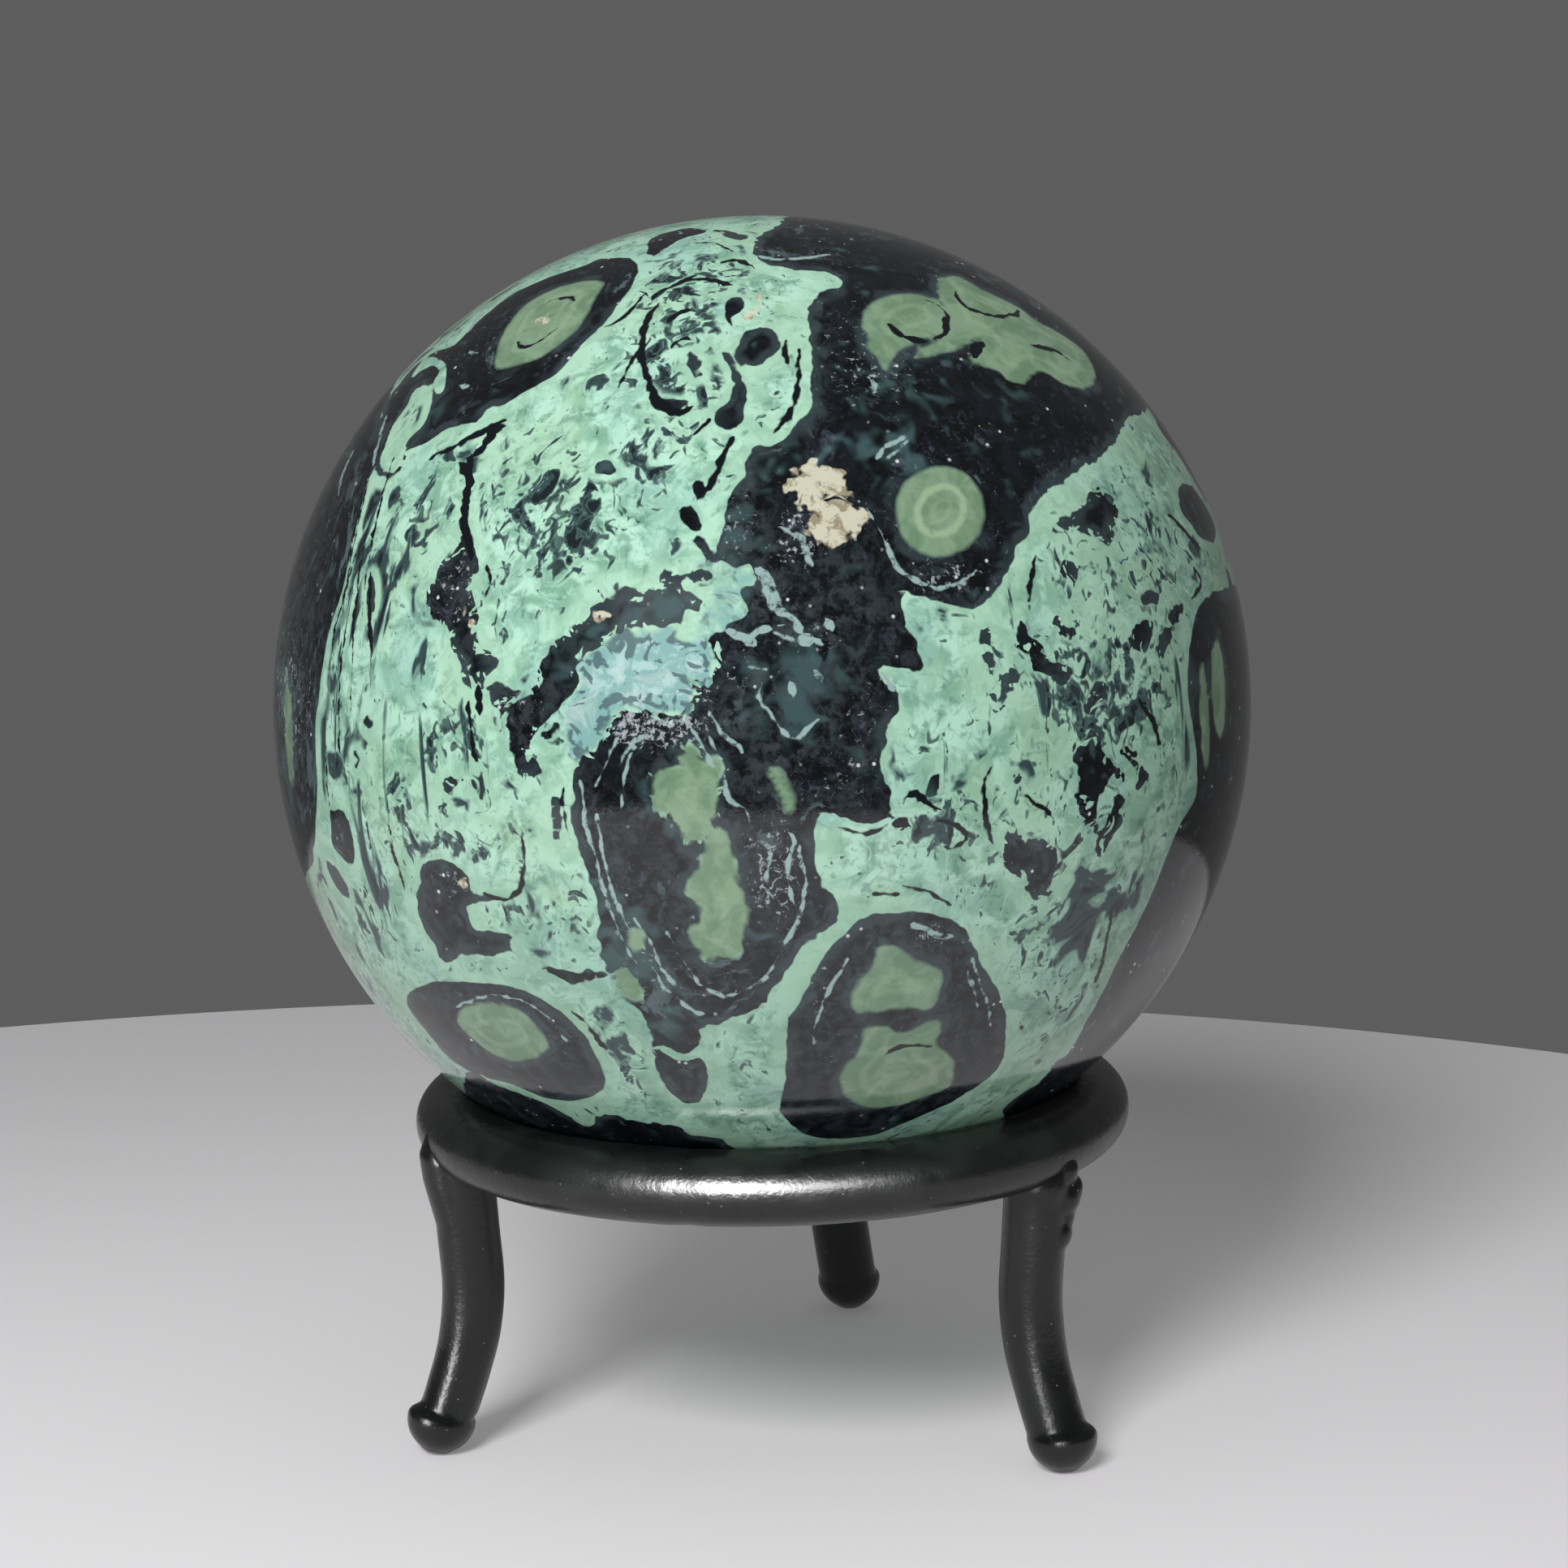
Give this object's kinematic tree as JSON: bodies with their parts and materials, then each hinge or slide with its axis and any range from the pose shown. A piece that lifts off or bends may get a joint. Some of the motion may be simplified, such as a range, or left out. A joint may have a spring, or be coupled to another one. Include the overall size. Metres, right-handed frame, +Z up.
{
  "type": "kambaba jasper sphere",
  "caption": "Polished round ball of dark green and black orbicular stone, resting on a low ring stand of bent black rod with splayed legs.",
  "frame": {"origin": "on the surface that the stand is on, straight below the centre of the stone", "axes": "+Z up, -Y towards the front, where two of the legs stand left and right of the view, +X to the viewer's right"},
  "size_m": [0.065, 0.065, 0.0812],
  "materials": {
    "stone": "polished",
    "paint": "satin"
  },
  "bodies": {
    "root": {"stone_sphere": "stone", "ring": "paint", "leg_left": "paint", "leg_right": "paint", "leg_back": "paint"}
  },
  "joints": []
}
